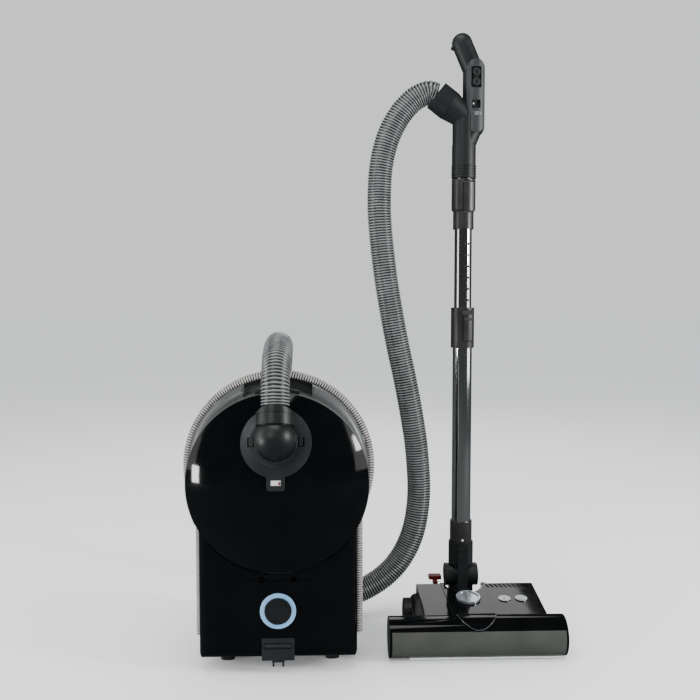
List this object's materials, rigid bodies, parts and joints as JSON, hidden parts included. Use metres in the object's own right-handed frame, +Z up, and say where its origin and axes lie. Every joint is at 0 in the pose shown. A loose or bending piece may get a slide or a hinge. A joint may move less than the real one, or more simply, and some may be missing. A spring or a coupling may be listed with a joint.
{
  "type": "canister vacuum cleaner",
  "caption": "Canister vacuum cleaner standing on its rear end beside its parked telescopic wand and power head, joined by a corrugated suction hose.",
  "frame": {"origin": "on the floor, under the middle of the box round the canister, wand and power head, without the hose", "axes": "+Z up along the wand, +X from the canister towards the wand, +Y from the lid towards the canister's wheels"},
  "size_m": [0.6553, 0.3788, 1.111],
  "materials": {
    "gloss_black": "gloss",
    "dark_case": "satin",
    "frame_grey": "satin",
    "soft_grey": "satin",
    "bumper": "matte",
    "blue_ring": "satin",
    "button_grey": "satin",
    "panel_grey": "satin",
    "hose_grey": "satin",
    "chrome": "polished",
    "steel": "brushed",
    "bag_paper": "matte",
    "card": "matte",
    "filter_white": "matte",
    "black_rubber": "matte",
    "window": "gloss",
    "switch_white": "satin",
    "nose_grey": "satin",
    "silver_knob": "gloss",
    "lamp": "clear",
    "brush_red": "matte",
    "pedal_red": "gloss",
    "caster_grey": "matte"
  },
  "bodies": {
    "canister": {"base_shell": "dark_case", "top_frame": "frame_grey", "rear_cover": "gloss_black", "lid_hinge_pin": "steel", "carry_handle": "black_rubber", "bumper_band": "bumper", "dust_bag": "bag_paper", "bag_collar": "card", "motor_filter": "filter_white", "motor_housing": "dark_case", "fan_motor": "steel", "exhaust_filter": "filter_white", "light_ring": "blue_ring", "cord_grommet": "black_rubber", "stand_feet": "black_rubber", "hose": "hose_grey", "handle_shell": "soft_grey", "control_panel": "panel_grey", "upper_collar": "soft_grey", "upper_tube": "chrome"},
    "lid": {"dust_lid": "gloss_black", "elbow_collar": "button_grey", "indicator_window": "window"},
    "elbow": {"hose_elbow": "soft_grey", "hose_sleeve": "soft_grey"},
    "left_clip": {"elbow_clip_left": "button_grey"},
    "right_clip": {"elbow_clip_right": "button_grey"},
    "latch": {"lid_latch": "button_grey"},
    "switch": {"switch_button": "button_grey"},
    "rewind": {"rewind_lever": "button_grey"},
    "left_wheel": {"wheel_left": "black_rubber"},
    "right_wheel": {"wheel_right": "black_rubber"},
    "left_caster": {"caster_fork_left": "button_grey"},
    "right_caster": {"caster_fork_right": "button_grey"},
    "left_caster_wheel": {"caster_wheel_left": "caster_grey"},
    "right_caster_wheel": {"caster_wheel_right": "caster_grey"},
    "impeller": {"impeller": "steel"},
    "reel": {"cable_reel": "soft_grey"},
    "power_rocker": {"power_rocker": "soft_grey"},
    "brush_switch": {"brush_switch": "switch_white"},
    "handle_button": {"handle_button": "button_grey"},
    "lower_wand": {"telescope_sleeve": "soft_grey", "lower_tube": "chrome", "lower_collar": "soft_grey", "neck": "soft_grey"},
    "telescope_button": {"telescope_slider": "button_grey"},
    "neck_lever": {"neck_lever": "button_grey"},
    "yoke": {"neck_yoke": "soft_grey"},
    "power_head": {"head_base": "dark_case", "head_cover": "gloss_black", "centre_cover": "gloss_black", "nose_cover": "gloss_black", "nose_front_shell": "nose_grey", "head_lights": "lamp", "head_motor": "steel", "drive_belt": "black_rubber"},
    "brush": {"brush_roller": "brush_red"},
    "knob": {"height_knob": "silver_knob"},
    "pedal": {"release_pedal": "pedal_red"},
    "head_wheels": {"head_wheels": "black_rubber"}
  },
  "joints": [
    {"name": "lid_hinge", "type": "hinge", "parent": "canister", "child": "lid", "pos_m": [-0.16535, -0.07762, 0.163], "axis": [1, 0, 0], "range_deg": [0, 70], "deforming": ["hose"]},
    {"name": "elbow_swivel", "type": "hinge", "parent": "lid", "child": "elbow", "pos_m": [-0.16535, -0.12101, 0.393], "axis": [0, -0.9521, 0.3058], "range_deg": [-30, 30]},
    {"name": "left_clip_press", "type": "slide", "parent": "lid", "child": "left_clip", "axis": [1, 0, 0], "range_m": [0, 0.001], "stiffness_N_per_m": 900},
    {"name": "right_clip_press", "type": "slide", "parent": "lid", "child": "right_clip", "axis": [-1, 0, 0], "range_m": [0, 0.001], "stiffness_N_per_m": 900},
    {"name": "latch_lift", "type": "hinge", "parent": "canister", "child": "latch", "pos_m": [-0.16535, -0.05862, 0.4705], "axis": [-1, 0, 0], "range_deg": [0, 12], "stiffness_Nm_per_rad": 0.6},
    {"name": "switch_press", "type": "slide", "parent": "canister", "child": "switch", "axis": [0, 1, 0], "range_m": [0, 0.004], "stiffness_N_per_m": 700},
    {"name": "rewind_press", "type": "hinge", "parent": "canister", "child": "rewind", "pos_m": [-0.16535, -0.07862, 0.058], "axis": [1, 0, 0], "range_deg": [0, 5], "stiffness_Nm_per_rad": 1.5},
    {"name": "left_wheel_spin", "type": "hinge", "parent": "canister", "child": "left_wheel", "pos_m": [-0.28035, 0.05938, 0.085], "axis": [1, 0, 0], "continuous": true},
    {"name": "left_caster_turn", "type": "hinge", "parent": "canister", "child": "left_caster", "pos_m": [-0.24535, 0.08738, 0.415], "axis": [0, 1, 0], "continuous": true},
    {"name": "left_caster_spin", "type": "hinge", "parent": "left_caster", "child": "left_caster_wheel", "pos_m": [-0.24535, 0.09938, 0.403], "axis": [1, 0, 0], "continuous": true},
    {"name": "right_wheel_spin", "type": "hinge", "parent": "canister", "child": "right_wheel", "pos_m": [-0.05035, 0.05938, 0.085], "axis": [1, 0, 0], "continuous": true},
    {"name": "right_caster_turn", "type": "hinge", "parent": "canister", "child": "right_caster", "pos_m": [-0.08535, 0.08738, 0.415], "axis": [0, 1, 0], "continuous": true},
    {"name": "right_caster_spin", "type": "hinge", "parent": "right_caster", "child": "right_caster_wheel", "pos_m": [-0.08535, 0.09938, 0.403], "axis": [1, 0, 0], "continuous": true},
    {"name": "impeller_spin", "type": "hinge", "parent": "canister", "child": "impeller", "pos_m": [-0.20535, -0.00862, 0.137], "axis": [0, 0, 1], "continuous": true},
    {"name": "reel_spin", "type": "hinge", "parent": "canister", "child": "reel", "pos_m": [-0.11335, -0.00462, 0.112], "axis": [1, 0, 0], "continuous": true},
    {"name": "power_rock", "type": "hinge", "parent": "canister", "child": "power_rocker", "pos_m": [0.1934, 0.12938, 1.0265], "axis": [1, 0, 0], "range_deg": [-5, 5], "stiffness_Nm_per_rad": 0.3},
    {"name": "brush_switch_slide", "type": "slide", "parent": "canister", "child": "brush_switch", "axis": [1, 0, 0], "range_m": [0, 0.007]},
    {"name": "handle_button_press", "type": "slide", "parent": "canister", "child": "handle_button", "axis": [-0.2924, 0.9563, 0], "range_m": [0, 0.001], "stiffness_N_per_m": 1200},
    {"name": "telescope_slide", "type": "slide", "parent": "canister", "child": "lower_wand", "axis": [0, 0, 1], "range_m": [-0.084, 0.126]},
    {"name": "telescope_button_slide", "type": "slide", "parent": "lower_wand", "child": "telescope_button", "axis": [0, 0, 1], "range_m": [0, 0.006], "stiffness_N_per_m": 500},
    {"name": "neck_lever_press", "type": "hinge", "parent": "lower_wand", "child": "neck_lever", "pos_m": [0.17465, 0.12438, 0.1], "axis": [1, 0, 0], "range_deg": [0, 4], "stiffness_Nm_per_rad": 1},
    {"name": "neck_tilt", "type": "hinge", "parent": "lower_wand", "child": "yoke", "pos_m": [0.17465, 0.14938, 0.088], "axis": [1, 0, 0], "range_deg": [0, 70]},
    {"name": "neck_swivel", "type": "hinge", "parent": "yoke", "child": "power_head", "pos_m": [0.17465, 0.14938, 0.03], "axis": [0, 0, 1], "range_deg": [-5, 45]},
    {"name": "brush_spin", "type": "hinge", "parent": "power_head", "child": "brush", "pos_m": [0.17465, -0.02162, 0.028], "axis": [1, 0, 0], "continuous": true},
    {"name": "height_knob_turn", "type": "hinge", "parent": "power_head", "child": "knob", "pos_m": [0.17465, 0.06338, 0.06861], "axis": [0, -0.1549, 0.9879], "range_deg": [0, 90]},
    {"name": "release_pedal_press", "type": "hinge", "parent": "power_head", "child": "pedal", "pos_m": [0.12865, 0.16138, 0.024], "axis": [-1, 0, 0], "range_deg": [0, 8], "stiffness_Nm_per_rad": 2},
    {"name": "head_wheel_spin", "type": "hinge", "parent": "power_head", "child": "head_wheels", "pos_m": [0.17465, 0.14338, 0.009], "axis": [1, 0, 0], "continuous": true}
  ]
}
